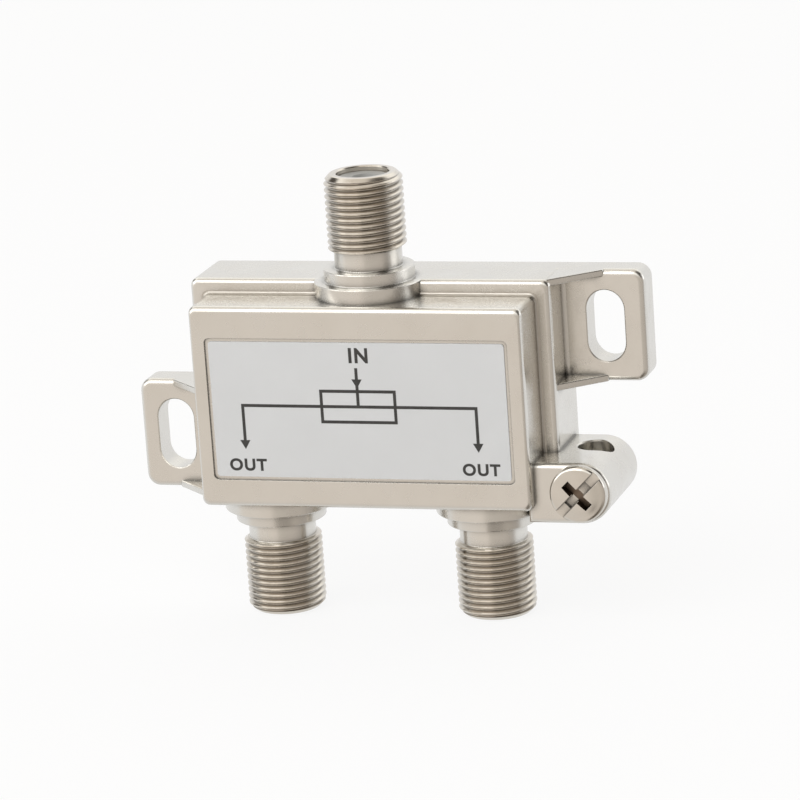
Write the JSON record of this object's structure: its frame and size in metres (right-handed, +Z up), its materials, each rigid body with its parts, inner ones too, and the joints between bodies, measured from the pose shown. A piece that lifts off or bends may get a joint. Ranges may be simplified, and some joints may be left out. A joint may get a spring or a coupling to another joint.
{
  "type": "coaxial splitter",
  "caption": "Die-cast coaxial splitter with one threaded port above, two below, slotted fixing ears and a ground screw lug.",
  "frame": {"origin": "middle of the back, on the wall plane", "axes": "+Y into the wall, +Z up along the input port, +X to the viewer's right"},
  "size_m": [0.0651, 0.0161, 0.0546],
  "materials": {
    "nickel_casting": "nickel-plated zinc casting, satin",
    "tinned_steel": "tinned sheet steel",
    "solder": "bright solder",
    "label_film": "satin printed film",
    "zinc_plated_steel": "bright plated steel",
    "board_laminate": "bare laminate",
    "chip_resistor": "black body with tinned ends",
    "chip_ceramic": "tan body with tinned ends",
    "insulator_plastic": "moulded plastic",
    "contact_brass": "spring brass",
    "ferrite": "sintered ferrite",
    "copper_wire": "enamelled copper"
  },
  "bodies": {
    "splitter": {"housing": "nickel_casting", "rear_cover": "tinned_steel", "cover_solder": "solder", "label": "label_film", "in_insulator": "insulator_plastic", "out_left_insulator": "insulator_plastic", "out_right_insulator": "insulator_plastic", "in_contact": "contact_brass", "out_left_contact": "contact_brass", "out_right_contact": "contact_brass", "circuit_board": "board_laminate", "match_core": "ferrite", "match_winding": "copper_wire", "split_core": "ferrite", "split_winding": "copper_wire", "isolation_resistor": "chip_resistor", "in_capacitor": "chip_ceramic", "out_left_capacitor": "chip_ceramic", "out_right_capacitor": "chip_ceramic", "trim_capacitor": "chip_ceramic"},
    "clamp_screw": {"ground_screw": "zinc_plated_steel"}
  },
  "joints": [
    {"name": "ground_screw_travel", "type": "slide", "parent": "splitter", "child": "clamp_screw", "axis": [0, -1, 0], "range_m": [0, 0.0042]}
  ]
}
